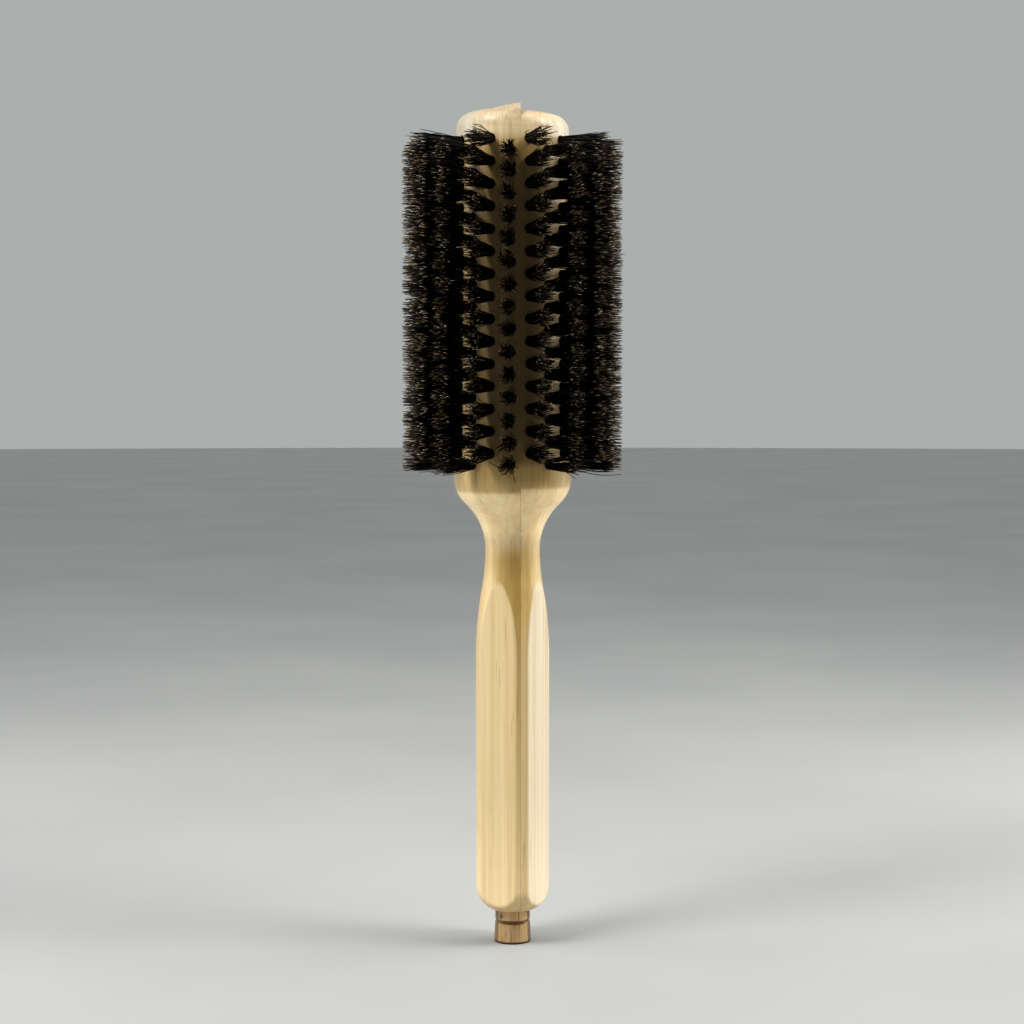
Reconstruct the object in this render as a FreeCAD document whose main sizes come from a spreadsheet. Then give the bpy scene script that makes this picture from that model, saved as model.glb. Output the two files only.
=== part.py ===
import FreeCAD, Part
import math
import os

import Sketcher

# Round barrel brush: a wooden body glued up from two laminations, with staggered rows of bristle
# tufts stapled into blind holes round its barrel, and a sectioning pick kept in the handle end.
# The pick's knob is the foot that the brush stands on. +Z is up along the brush's axis, the foot's
# centre is the origin, and -Y is the front. Millimetres and degrees.

DIMENSIONS = {
    # pick: the knob is turned, with a grip groove; the pin is pressed into it
    "foot_radius": 5.4,
    "foot_edge": 0.35,
    "knob_waist_radius": 5.05,
    "knob_top_radius": 4.95,
    "knob_height": 9.6,
    "groove_centre": 6.3,
    "groove_width": 1.1,
    "groove_depth": 0.25,
    "knob_hole_radius": 1.31,
    "knob_hole_floor": 2.6,
    "pin_radius": 1.3,
    "pin_tip_radius": 0.5,
    "pin_taper_start": 45.0,
    "pin_top": 66.0,
    # socket: a bush in the handle end that grips the pin
    "socket_radius": 2.98,
    "socket_bore": 1.36,
    "socket_recess": 0.3,
    "socket_length": 14.0,
    "socket_lead": 0.3,
    "socket_clearance": 0.02,
    "pin_room_radius": 1.7,
    "pin_room_length": 60.0,
    # handle end, grip and neck
    "handle_end": 9.7,
    "end_round_radius": 7.4,
    "end_round_top": 16.5,
    "grip_low_radius": 10.7,
    "grip_radius": 10.75,
    "grip_top": 83.2,
    "neck_bulge_radius": 120.0,
    "waist_radius": 7.9,
    "waist_height": 115.1,
    "flare_radius": 18.0,
    "flat_apothem": 8.85,
    "flat_turn": -29.5,
    "flat_count": 4,
    # barrel and crown
    "barrel_low_radius": 17.05,
    "barrel_low": 135.9,
    "barrel_high_radius": 16.2,
    "crown_edge_radius": 4.5,
    "crown_dome_radius": 50.0,
    "crown_top": 241.5,
    "glue_plane": 2.3,
    "lip_start": -10.0,
    "lip_tilt": 9.5,
    "lip_depth": 4.6,
    # tufts and their staples
    "row_count": 18,
    "row_turn": -2.6,
    "tufts_per_row": 15,
    "tuft_pitch": 6.34,
    "first_tuft": 232.0,
    "hole_radius": 1.5,
    "hole_floor_radius": 10.7,
    "tuft_root_radius": 1.4,
    "tuft_mouth_radius": 16.7,
    "tuft_tip_radius": 31.75,
    "tuft_tip_half_width": 2.8,
    "tuft_tip_crown": 0.5,
    "root_gap": 0.1,
    "staple_width": 2.7,
    "staple_thickness": 0.4,
    "staple_height": 1.6,
    "staple_corner": 0.4,
    "staple_inset": 0.7,
    "staple_gap": 0.05,
}

doc = FreeCAD.newDocument("round_barrel_brush")

sheet = doc.addObject("Spreadsheet::Sheet", "dims")
for line, (alias, value) in enumerate(DIMENSIONS.items(), start=1):
    sheet.set(f"A{line}", alias)
    sheet.set(f"B{line}", str(value))
    sheet.setAlias(f"B{line}", alias)
doc.recompute()


# ---- helpers -------------------------------------------------------------------------------------


def size(alias):
    """A driving dimension, read back from the sheet."""
    return float(sheet.get(alias))


def new_body(name, compound=False):
    body = doc.addObject("PartDesign::Body", name)
    body.Label = name
    body.AllowCompound = compound
    return body


def new_sketch(body, name, plane_role="XZ_Plane"):
    sketch = body.newObject("Sketcher::SketchObject", name)
    plane = next(f for f in body.Origin.OriginFeatures if f.Role == plane_role)
    sketch.AttachmentSupport = [(plane, "")]
    sketch.MapMode = "FlatFace"
    return sketch


def bind(sketch, kind, where, expression):
    """Adds a dimensional constraint and ties it to an expression of the sheet."""
    index = sketch.addConstraint(Sketcher.Constraint(kind, *where, value_of(expression)))
    sketch.setExpression(f"Constraints[{index}]", expression)


def pin_point(sketch, geometry, end, across, up):
    """Fixes a point of the sketch at (across, up), two expressions, or numbers measured at zero."""
    for kind, expression in (("DistanceX", across), ("DistanceY", up)):
        if expression == "0":
            axis = -2 if kind == "DistanceX" else -1
            sketch.addConstraint(Sketcher.Constraint("PointOnObject", geometry, end, axis))
        else:
            bind(sketch, kind, (-1, 1, geometry, end), expression)


def polygon_sketch(body, name, corners, plane_role="XZ_Plane"):
    """A closed outline of straight lines whose corners are pairs of expressions."""
    sketch = new_sketch(body, name, plane_role)
    places = [
        FreeCAD.Vector(value_of(across), value_of(up), 0) for across, up in corners
    ]
    ends = places[1:] + places[:1]
    for start, stop in zip(places, ends):
        sketch.addGeometry(Part.LineSegment(start, stop), False)
    last = len(corners) - 1
    for i, (across, up) in enumerate(corners):
        before = last if i == 0 else i - 1
        sketch.addConstraint(Sketcher.Constraint("Coincident", before, 2, i, 1))
        pin_point(sketch, i, 1, across, up)
    return sketch


def value_of(expression):
    """The value of an expression of the sheet, for a sketch's first placement of its points."""
    names = {alias: size(alias) for alias in DIMENSIONS}
    total = 0.0
    for term in expression.replace("-", "+-").split("+"):
        term = term.strip()
        if not term:
            continue
        sign = -1.0 if term.startswith("-") else 1.0
        product = sign
        for factor in term.lstrip("-").split("*"):
            word = factor.strip().replace("dims.", "")
            product *= names[word] if word in names else float(word)
        total += product
    return total


def turn(body, sketch, name, kind="PartDesign::Revolution", axis="V_Axis"):
    """A full turn of a sketch about one of its axes, added to the body or cut from it."""
    feature = body.newObject(kind, name)
    feature.Profile = sketch
    feature.ReferenceAxis = (sketch, [axis])
    feature.Angle = 360
    return feature


def arc(centre, radius, first, last):
    """An arc from first to last degrees, turning the way that makes it the shorter one."""
    circle = Part.Circle(FreeCAD.Vector(centre[0], centre[1], 0), FreeCAD.Vector(0, 0, 1), radius)
    return Part.ArcOfCircle(circle, math.radians(first), math.radians(last))


# ---- wooden body ---------------------------------------------------------------------------------


def turned_profile(body):
    """Half the outline of the turned wood: end face, rounding, grip, neck, flare, barrel, crown."""
    sketch = new_sketch(body, "turned_profile")
    end, grip, low = size("handle_end"), size("grip_radius"), size("grip_low_radius")
    round_r, round_z = size("end_round_radius"), size("end_round_top")
    bulge, grip_z = size("neck_bulge_radius"), size("grip_top")
    waist, waist_z, flare = size("waist_radius"), size("waist_height"), size("flare_radius")
    barrel, barrel_z = size("barrel_low_radius"), size("barrel_low")
    top, dome, edge = size("crown_top"), size("crown_dome_radius"), size("crown_edge_radius")
    face = low - round_r + math.sqrt(round_r**2 - (round_z - end) ** 2)
    # the long hollow of the neck touches the grip's bulge; the shoulder touches the flare
    rise, offset = waist_z - grip_z, waist - grip + bulge
    hollow = (offset**2 + rise**2 - bulge**2) / (2 * (bulge - offset))
    lean = math.degrees(math.asin(rise / (bulge + hollow)))
    climb, gap = barrel_z - waist_z, waist + flare - barrel
    shoulder = (climb**2 + gap**2 - flare**2) / (2 * (flare - gap))
    tilt = math.degrees(math.asin(climb / (flare + shoulder)))
    high = size("barrel_high_radius")
    crown = math.degrees(math.acos((high - edge) / (dome - edge)))
    crown_z = top - dome + (dome - edge) * math.sin(math.radians(crown))
    origin = FreeCAD.Vector
    sketch.addGeometry(
        [
            Part.LineSegment(origin(0, end, 0), origin(face, end, 0)),
            arc((low - round_r, round_z), round_r, -67, 0),
            Part.LineSegment(origin(low, round_z, 0), origin(grip, grip_z, 0)),
            arc((grip - bulge, grip_z), bulge, 0, lean),
            arc((waist + hollow, waist_z), hollow, 180, 180 + lean),
            arc((waist + flare, waist_z), flare, 180 - tilt, 180),
            arc((barrel - shoulder, barrel_z), shoulder, -tilt, 0),
            Part.LineSegment(origin(barrel, barrel_z, 0), origin(high, crown_z, 0)),
            arc((high - edge, crown_z), edge, 0, crown),
            arc((0, top - dome), dome, crown, 90),
            Part.LineSegment(origin(0, top, 0), origin(0, end, 0)),
        ],
        False,
    )
    start, stop, middle = 1, 2, 3
    constraints = [
        ("Horizontal", 0),
        ("Coincident", 0, stop, 1, start),
        ("Coincident", 1, stop, 2, start),
        ("Horizontal", 1, stop, 1, middle),
        ("Coincident", 2, stop, 3, start),
        ("Horizontal", 3, start, 3, middle),
        ("Tangent", 3, stop, 4, stop),
        ("Horizontal", 4, start, 4, middle),
        ("Coincident", 4, start, 5, stop),
        ("Horizontal", 5, stop, 5, middle),
        ("Tangent", 5, start, 6, start),
        ("Horizontal", 6, stop, 6, middle),
        ("Coincident", 6, stop, 7, start),
        ("Tangent", 7, stop, 8, start),
        ("Tangent", 8, stop, 9, start),
        ("Coincident", 9, stop, 10, start),
        ("Coincident", 10, stop, 0, start),
        ("PointOnObject", 9, middle, -2),
    ]
    for constraint in constraints:
        sketch.addConstraint(Sketcher.Constraint(*constraint))
    pin_point(sketch, 0, start, "0", "dims.handle_end")
    pin_point(
        sketch, 1, middle, "dims.grip_low_radius - dims.end_round_radius", "dims.end_round_top"
    )
    pin_point(sketch, 3, start, "dims.grip_radius", "dims.grip_top")
    pin_point(sketch, 5, stop, "dims.waist_radius", "dims.waist_height")
    pin_point(sketch, 6, stop, "dims.barrel_low_radius", "dims.barrel_low")
    pin_point(sketch, 9, stop, "0", "dims.crown_top")
    bind(sketch, "DistanceX", (-1, 1, 7, stop), "dims.barrel_high_radius")
    radii = {1: "end_round", 3: "neck_bulge", 5: "flare", 8: "crown_edge", 9: "crown_dome"}
    for geometry, name in radii.items():
        bind(sketch, "Radius", (geometry,), f"dims.{name}_radius")
    return sketch


def turned_wood():
    """The whole body of wood as turned, flatted and bored, before drilling for the tufts."""
    body = new_body("turned_wood")
    turn(body, turned_profile(body), "turning")

    # one flat of the grip, cut by a block that stops in the neck's waist, and its repeats
    corners = [
        ("dims.flat_apothem", "-2*dims.grip_radius"),
        ("2*dims.grip_radius", "-2*dims.grip_radius"),
        ("2*dims.grip_radius", "2*dims.grip_radius"),
        ("dims.flat_apothem", "2*dims.grip_radius"),
    ]
    sketch = polygon_sketch(body, "flat_outline", corners, "XY_Plane")
    sketch.setExpression(".AttachmentOffset.Rotation.Angle", "dims.flat_turn")
    flat = body.newObject("PartDesign::Pocket", "flat")
    flat.Profile = sketch
    flat.Reversed = True
    flat.setExpression("Length", "dims.waist_height")
    flats = body.newObject("PartDesign::PolarPattern", "flats")
    flats.Originals = [flat]
    flats.Axis = (sketch, ["N_Axis"])
    flats.Angle = 360
    flats.setExpression("Occurrences", "dims.flat_count")
    body.Tip = flats
    doc.recompute()

    # stepped bore: wide for the socket, narrow beyond it for the pin
    socket_wall = "dims.socket_radius + dims.socket_clearance"
    socket_floor = "dims.handle_end + dims.socket_recess + dims.socket_length"
    corners = [
        ("0", "0"),
        (socket_wall, "0"),
        (socket_wall, socket_floor),
        ("dims.pin_room_radius", socket_floor),
        ("dims.pin_room_radius", "dims.handle_end + dims.pin_room_length"),
        ("0", "dims.handle_end + dims.pin_room_length + dims.pin_room_radius"),
    ]
    outline = polygon_sketch(body, "bore_outline", corners)
    turn(body, outline, "bore", "PartDesign::Groove")
    return body


def row_angle(row):
    """Degrees from +X of a row's tufts, counting rows anticlockwise from the front one."""
    return -90 + size("row_turn") + row * 360 / size("row_count")


def row_drop(row):
    """Every other row starts half a pitch lower."""
    return 0.5 * size("tuft_pitch") if row % 2 == 0 else 0.0


def row_placement(row):
    """Puts a row that is drawn along +X and +Z, with its first tuft at height 0, on the barrel."""
    height = size("first_tuft") - row_drop(row)
    turned = FreeCAD.Rotation(FreeCAD.Vector(0, 0, 1), row_angle(row))
    return FreeCAD.Placement(FreeCAD.Vector(0, 0, height), turned)


def tuft_holes():
    """The drills of all the blind holes, as one tool."""
    floor = size("hole_floor_radius")
    outside = size("barrel_low_radius") + size("hole_radius")
    drills = []
    for row in range(int(size("row_count"))):
        for tuft in range(int(size("tufts_per_row"))):
            drill = Part.makeCylinder(
                size("hole_radius"),
                outside - floor,
                FreeCAD.Vector(floor, 0, -tuft * size("tuft_pitch")),
                FreeCAD.Vector(1, 0, 0),
            )
            drill.Placement = row_placement(row) * drill.Placement
            drills.append(drill)
    holes = doc.addObject("Part::Feature", "tuft_holes")
    holes.Shape = Part.makeCompound(drills)
    return holes


def half_space(name, left):
    """A block that holds everything on one side of the glue plane."""
    block = doc.addObject("Part::Box", name)
    block.setExpression("Length", "3*dims.barrel_low_radius")
    block.setExpression("Width", "3*dims.barrel_low_radius")
    block.setExpression("Height", "2*dims.crown_top")
    side = "dims.glue_plane - 3*dims.barrel_low_radius" if left else "dims.glue_plane"
    block.setExpression(".Placement.Base.x", side)
    block.setExpression(".Placement.Base.y", "-1.5*dims.barrel_low_radius")
    block.setExpression(".Placement.Base.z", "-0.5*dims.crown_top")
    return block


def boolean(kind, name, base, tool):
    feature = doc.addObject(kind, name)
    feature.Base = base
    feature.Tool = tool
    return feature


def crown_lip(wood):
    """The left lamination's crown is worked at a slant and stands proud at the glue line."""
    tilted = doc.addObject("Part::Compound", "tilted_crown")
    tilted.Links = [wood]
    start = size("lip_start")
    hinge_height = size("crown_top") - start**2 / (2 * size("crown_dome_radius"))
    tilted.Placement = FreeCAD.Placement(
        FreeCAD.Vector(0, 0, 0),
        FreeCAD.Rotation(FreeCAD.Vector(0, 1, 0), -size("lip_tilt")),
        FreeCAD.Vector(start, 0, hinge_height),
    )
    block = doc.addObject("Part::Box", "lip_block")
    block.setExpression("Length", "dims.glue_plane - dims.lip_start")
    block.setExpression("Width", "3*dims.barrel_low_radius")
    block.setExpression("Height", "3*dims.lip_depth")
    block.setExpression(".Placement.Base.x", "dims.lip_start")
    block.setExpression(".Placement.Base.y", "-1.5*dims.barrel_low_radius")
    block.setExpression(".Placement.Base.z", "dims.crown_top - dims.lip_depth")
    round_bar = doc.addObject("Part::Cylinder", "lip_round")
    round_bar.setExpression("Radius", "dims.barrel_high_radius")
    round_bar.setExpression("Height", "1.2*dims.crown_top")
    trimmed = boolean("Part::Common", "lip_trim", block, round_bar)
    return boolean("Part::Common", "crown_lip", tilted, trimmed)


def laminations():
    wood = turned_wood()
    drilled = boolean("Part::Cut", "drilled_wood", wood, tuft_holes())
    right = boolean(
        "Part::Common", "body_right_lamination", drilled, half_space("right_side", False)
    )
    left_part = boolean("Part::Common", "left_part", drilled, half_space("left_side", True))
    left = doc.addObject("Part::Fuse", "body_left_lamination")
    left.Base = left_part
    left.Tool = crown_lip(wood)
    left.Refine = True
    return [left, right]


# ---- tufts and staples ---------------------------------------------------------------------------


def repeat_down_row(body, features, sketch):
    """Repeats a row's first tuft or staple down the barrel, as separate solids."""
    pattern = body.newObject("PartDesign::LinearPattern", body.Name + "_pattern")
    pattern.Originals = features
    pattern.Direction = (sketch, ["V_Axis"])
    pattern.Reversed = True
    pattern.setExpression("Length", "dims.tuft_pitch * (dims.tufts_per_row - 1)")
    pattern.setExpression("Occurrences", "dims.tufts_per_row")
    body.Tip = pattern


STAPLE_INNER = "dims.hole_floor_radius + dims.staple_inset"
STAPLE_OUTER = STAPLE_INNER + " + dims.staple_height"


def tuft_row(row):
    """Bristles doubled over a staple: a round root in the hole, spreading to a domed tip."""
    name = f"row_{row + 1:02d}_tufts"
    body = new_body(name, compound=True)
    sketch = new_sketch(body, name + "_profile")
    inner = size("hole_floor_radius") + size("root_gap")
    root, mouth = size("tuft_root_radius"), size("tuft_mouth_radius")
    tip, half, crown = (
        size("tuft_tip_radius"),
        size("tuft_tip_half_width"),
        size("tuft_tip_crown"),
    )
    dome = (half**2 + crown**2) / (2 * crown)
    spread = math.degrees(math.asin(half / dome))
    point = FreeCAD.Vector
    sketch.addGeometry(
        [
            Part.LineSegment(point(inner, 0, 0), point(inner, root, 0)),
            Part.LineSegment(point(inner, root, 0), point(mouth, root, 0)),
            Part.LineSegment(point(mouth, root, 0), point(tip - crown, half, 0)),
            arc((tip - dome, 0), dome, 0, spread),
            Part.LineSegment(point(tip, 0, 0), point(inner, 0, 0)),
        ],
        False,
    )
    for joined in ((0, 2, 1, 1), (1, 2, 2, 1), (2, 2, 3, 2), (3, 1, 4, 1), (4, 2, 0, 1)):
        sketch.addConstraint(Sketcher.Constraint("Coincident", *joined))
    pin_point(sketch, 0, 1, "dims.hole_floor_radius + dims.root_gap", "0")
    pin_point(
        sketch, 1, 1, "dims.hole_floor_radius + dims.root_gap", "dims.tuft_root_radius"
    )
    pin_point(sketch, 2, 1, "dims.tuft_mouth_radius", "dims.tuft_root_radius")
    pin_point(
        sketch, 2, 2, "dims.tuft_tip_radius - dims.tuft_tip_crown", "dims.tuft_tip_half_width"
    )
    pin_point(sketch, 3, 1, "dims.tuft_tip_radius", "0")
    sketch.addConstraint(Sketcher.Constraint("PointOnObject", 3, 3, -1))
    tuft = turn(body, sketch, name + "_turned", axis="H_Axis")

    # the eye that the staple passes through
    inner_eye = STAPLE_INNER + " - dims.staple_gap"
    outer_eye = STAPLE_OUTER + " + dims.staple_gap"
    corners = [
        (inner_eye, "-1.5*dims.hole_radius"),
        (outer_eye, "-1.5*dims.hole_radius"),
        (outer_eye, "1.5*dims.hole_radius"),
        (inner_eye, "1.5*dims.hole_radius"),
    ]
    eye = body.newObject("PartDesign::Pocket", name + "_eye")
    eye.Profile = polygon_sketch(body, name + "_eye_outline", corners)
    eye.SideType = "Symmetric"
    eye.setExpression("Length", "dims.staple_thickness + 2*dims.staple_gap")
    repeat_down_row(body, [tuft, eye], sketch)
    body.Placement = row_placement(row)
    return body


def staple_row(row):
    """Flat staples with clipped leading corners, one across the eye of each tuft."""
    name = f"row_{row + 1:02d}_staples"
    body = new_body(name, compound=True)
    half = "0.5*dims.staple_width"
    corners = [
        (STAPLE_INNER, f"-{half} + dims.staple_corner"),
        (STAPLE_INNER + " + dims.staple_corner", f"-{half}"),
        (STAPLE_OUTER, f"-{half}"),
        (STAPLE_OUTER, half),
        (STAPLE_INNER + " + dims.staple_corner", half),
        (STAPLE_INNER, f"{half} - dims.staple_corner"),
    ]
    sketch = polygon_sketch(body, name + "_outline", corners)
    plate = body.newObject("PartDesign::Pad", name + "_plate")
    plate.Profile = sketch
    plate.SideType = "Symmetric"
    plate.setExpression("Length", "dims.staple_thickness")
    repeat_down_row(body, [plate], sketch)
    body.Placement = row_placement(row)
    return body


# ---- sectioning pick -----------------------------------------------------------------------------


def pick_knob():
    """The grooved knob on the pin, which is also the foot."""
    body = new_body("pick_knob")
    groove_low = "dims.groove_centre - 0.5*dims.groove_width"
    groove_high = "dims.groove_centre + 0.5*dims.groove_width"
    corners = [
        ("0", "0"),
        ("dims.foot_radius - dims.foot_edge", "0"),
        ("dims.foot_radius", "dims.foot_edge"),
        ("dims.knob_waist_radius", groove_low),
        ("dims.knob_waist_radius - dims.groove_depth", "dims.groove_centre"),
        ("dims.knob_waist_radius", groove_high),
        ("dims.knob_top_radius", "dims.knob_height"),
        ("dims.knob_hole_radius", "dims.knob_height"),
        ("dims.knob_hole_radius", "dims.knob_hole_floor"),
        ("0", "dims.knob_hole_floor"),
    ]
    turn(body, polygon_sketch(body, "knob_profile", corners), "knob_turning")
    return body


def pick_pin():
    """The steel pin, straight in knob and socket, then tapered to a blunt tip."""
    body = new_body("pick_pin")
    tip = "dims.pin_tip_radius"
    corners = [
        ("0", "dims.knob_hole_floor + dims.root_gap"),
        ("dims.pin_radius", "dims.knob_hole_floor + dims.root_gap"),
        ("dims.pin_radius", "dims.pin_taper_start"),
        (tip, f"dims.pin_top - {tip}"),
        (f"0.5*{tip}", f"dims.pin_top - 0.2*{tip}"),
        ("0", "dims.pin_top"),
    ]
    turn(body, polygon_sketch(body, "pin_profile", corners), "pin_turning")
    return body


def pick_socket():
    """The bush that grips the pin, with a lead-in at its mouth."""
    body = new_body("pick_socket")
    mouth = "dims.handle_end + dims.socket_recess"
    floor = mouth + " + dims.socket_length - dims.socket_clearance"
    corners = [
        ("dims.socket_bore + dims.socket_lead", mouth),
        ("dims.socket_radius", mouth),
        ("dims.socket_radius", floor),
        ("dims.socket_bore", floor),
        ("dims.socket_bore", mouth + " + dims.socket_lead"),
    ]
    turn(body, polygon_sketch(body, "socket_profile", corners), "socket_turning")
    return body


# ---- assembly ------------------------------------------------------------------------------------

rows = range(int(size("row_count")))
sub_parts = laminations()
sub_parts += [tuft_row(row) for row in rows]
sub_parts += [staple_row(row) for row in rows]
sub_parts += [pick_knob(), pick_pin(), pick_socket()]
for part in sub_parts:
    part.Label = part.Name
doc.recompute()

for item in doc.Objects:
    if {"Invalid", "Error"} & set(item.State):
        raise RuntimeError(f"{item.Label} failed: {item.State}")
for part in sub_parts:
    if part.Shape.isNull() or not part.Shape.isValid():
        raise RuntimeError(f"{part.Label} has no valid shape")

os.makedirs("parts", exist_ok=True)
for part in sub_parts:
    part.Shape.exportStep(f"parts/{part.Label}.step")
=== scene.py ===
import math

import bmesh
import bpy
import numpy as np
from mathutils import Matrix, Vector


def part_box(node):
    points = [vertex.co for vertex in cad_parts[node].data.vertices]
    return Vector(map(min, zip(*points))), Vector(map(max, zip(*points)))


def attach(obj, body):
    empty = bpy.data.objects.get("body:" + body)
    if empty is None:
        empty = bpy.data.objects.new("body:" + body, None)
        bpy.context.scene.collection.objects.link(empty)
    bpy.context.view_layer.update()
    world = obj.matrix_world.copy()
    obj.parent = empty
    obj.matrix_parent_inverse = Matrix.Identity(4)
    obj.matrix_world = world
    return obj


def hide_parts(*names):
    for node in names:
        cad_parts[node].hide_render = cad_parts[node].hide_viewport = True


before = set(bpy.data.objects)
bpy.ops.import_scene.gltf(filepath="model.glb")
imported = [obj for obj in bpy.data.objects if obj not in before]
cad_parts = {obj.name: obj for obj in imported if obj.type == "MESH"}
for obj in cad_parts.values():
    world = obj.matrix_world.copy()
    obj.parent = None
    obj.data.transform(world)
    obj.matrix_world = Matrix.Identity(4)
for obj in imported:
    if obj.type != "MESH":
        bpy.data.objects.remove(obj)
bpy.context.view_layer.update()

MM = 0.001
SEED = 11

# ---- the object's own sizes, in millimetres --------------------------------------------------------

# The body and its holes have the CAD model's sizes.
GLUE_PLANE = 2.3
GRIP = dict(end=9.7, low=16.5, low_radius=10.7, top=83.2, radius=10.75, bulge=120.0)
NECK = dict(waist=115.1, radius=7.9, flare=18.0)
BARREL = dict(low=135.9, low_radius=17.05, high_radius=16.2)
CROWN = dict(edge=4.5, dome=50.0, dome_turn=89.5, top=241.5)
END_ROUND = dict(flat_radius=3.3, mouth_radius=3.0, mouth_bevel=0.3, edge_radius=4.6)
BORE = dict(top=71.4, radius=1.7, ledge=24.0)
GRIP_FLATS = dict(apothem=8.85, turn=-29.5, count=4, top=115.1, edge=0.22)
HOLES = dict(radius=1.5, floor=10.7, drill_end=18.5, drill_sides=20)
TUFTS_PER_ROW = 15
TUFT_HALF_WIDTH = 2.8
BODY_COLUMNS = 192
# The outline's first rings are in the bore and its mouth, where the flats don't reach.
RINGS_IN_MOUTH = 5

# The left board's crown is fuller than in the CAD model, and the knob wider with a shallower groove.
LIP = dict(start=-7.0, tilt=9.5, lift=0.5, low=236.5, high=240.0)
CROWN_EDGE = dict(proud=0.75, low=233.0, high=238.5, inner=1.0, outer=8.0)
KNOB = dict(
    base=4.2,
    foot=5.38,
    foot_edge=0.28,
    waist=5.14,
    neck=5.11,
    top=5.08,
    top_edge=0.35,
    wall_top=9.1,
    height=9.6,
)
KNOB_COLUMNS = 128
GROOVE = dict(low=5.6, high=7.0, stain=6.25)
GROOVE_LOWER_SIDE = [(5.11, 5.75), (5.04, 5.9), (4.96, 6.1), (4.93, 6.3)]
GROOVE_UPPER_SIDE = [(4.95, 6.5), (5.02, 6.7), (5.09, 6.85)]
PIN_HOLE = dict(radius=1.31, floor=2.6, rim=1.32, rim_depth=0.1)

# ---- camera ----------------------------------------------------------------------------------------

CAMERA_PLACE = Vector((-0.17, -641.0, 160.0)) * MM
CAMERA_AIM = Vector((-0.17, 0.0, 125.87)) * MM
LENS = 77.66


def aim(thing, target):
    thing.rotation_mode = "QUATERNION"
    thing.rotation_quaternion = (target - thing.location).to_track_quat("-Z", "Y")


def add_camera():
    data = bpy.data.cameras.new("camera")
    data.lens = LENS
    data.clip_start, data.clip_end = 0.01, 100.0
    camera = bpy.data.objects.new("camera", data)
    bpy.context.scene.collection.objects.link(camera)
    camera.location = CAMERA_PLACE
    aim(camera, CAMERA_AIM)
    bpy.context.scene.camera = camera


# ---- studio, in metres and watts -------------------------------------------------------------------

LIGHTS_AIM = Vector((0, 0, 0.12))
SOFTBOXES = (
    # name, place, (width, height), power, colour
    ("softbox_right", (0.60, 0.14, 0.36), (0.5, 0.4), 1.9, (1.0, 0.99, 0.96)),
    ("softbox_left", (-0.62, 0.02, 0.36), (0.5, 0.4), 1.15, (1.0, 0.98, 0.95)),
    ("key_left", (-0.51, -0.36, 0.82), (0.35, 0.35), 4.6, (1.0, 0.99, 0.97)),
    ("key_right", (0.65, -0.15, 0.75), (0.3, 0.3), 3.0, (1.0, 0.99, 0.97)),
)
FRONT_WALL = (0.095, 0.097, 0.098, 1)
BACK_WALL = (0.335, 0.35, 0.345, 1)
CEILING_PANEL = (1.55, 1.55, 1.52, 1)
# Steps of the world's Y and Z directions, as (start, stop).
FRONT_TO_BACK = (-0.15, 0.25)
PANEL_FRONT, PANEL_BACK, PANEL_FOOT = (-0.5, -0.3), (0.12, 0.28), (0.70, 0.80)
FLOOR_RADIUS = 6.0
FLOOR_SIDES = 96


def add_softbox(name, place, size, power, colour):
    data = bpy.data.lights.new(name, "AREA")
    data.shape = "RECTANGLE"
    data.size, data.size_y = size
    data.energy = power
    data.color = colour
    lamp = bpy.data.objects.new(name, data)
    bpy.context.scene.collection.objects.link(lamp)
    lamp.location = Vector(place)
    lamp.visible_camera = False
    aim(lamp, LIGHTS_AIM)


def add_studio():
    scene = bpy.context.scene
    scene.view_settings.view_transform = "Standard"
    scene.view_settings.look = "High Contrast"
    scene.world = studio_world()
    for softbox in SOFTBOXES:
        add_softbox(*softbox)
    floor = new_mesh("floor", *disc(FLOOR_RADIUS, FLOOR_SIDES))
    floor.data.materials.append(floor_material())


def studio_world():
    """A pale wall behind, a bright ceiling panel above and a dim front where the camera stands."""
    world = bpy.data.worlds.new("studio")
    world.use_nodes = True
    n = Nodes(world.node_tree, "Generated")
    _, y, z = n.axes()
    walls = n.mix(n.span(y, *FRONT_TO_BACK), FRONT_WALL, BACK_WALL)
    ceiling = n.mix(n.span(y, *PANEL_FRONT), walls, CEILING_PANEL)
    ceiling = n.mix(n.span(y, *PANEL_BACK), ceiling, walls)
    colour = n.mix(n.span(z, *PANEL_FOOT), walls, ceiling)
    n.link(colour, world.node_tree.nodes["Background"].inputs["Color"])
    return world


def disc(radius, sides):
    angles = np.linspace(0, 2 * math.pi, sides, endpoint=False)
    points = np.stack([radius * np.cos(angles), radius * np.sin(angles), 0 * angles], 1)
    return points, [tuple(range(sides))]


# ---- mesh helpers ----------------------------------------------------------------------------------


def new_mesh(name, points, faces):
    mesh = bpy.data.meshes.new(name)
    mesh.from_pydata([tuple(p) for p in points], [], faces)
    mesh.validate()
    thing = bpy.data.objects.new(name, mesh)
    bpy.context.scene.collection.objects.link(thing)
    return thing


def smooth(thing, sharp_angle=35):
    thing.data.shade_smooth()
    thing.data.set_sharp_from_angle(angle=math.radians(sharp_angle))


def spin(outline, columns):
    """Points and faces of an outline of (radius, height), from Z back to Z, turned about Z."""
    outline = np.asarray(outline, float)
    inner = outline[1:-1]
    angles = np.linspace(0, 2 * math.pi, columns, endpoint=False)
    r, z = inner[:, :1], np.repeat(inner[:, 1:], columns, 1)
    ring = np.stack([r * np.cos(angles), r * np.sin(angles), z], 2).reshape(-1, 3)
    first, last = len(ring), len(ring) + 1
    points = np.vstack([ring, [(0, 0, outline[0, 1])], [(0, 0, outline[-1, 1])]])
    faces = []
    rows = len(inner)
    for i in range(columns):
        j = (i + 1) % columns
        faces.append((first, j, i))
        for row in range(rows - 1):
            a, b = row * columns, (row + 1) * columns
            faces.append((a + i, a + j, b + j, b + i))
        faces.append(((rows - 1) * columns + i, (rows - 1) * columns + j, last))
    return points, faces


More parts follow.
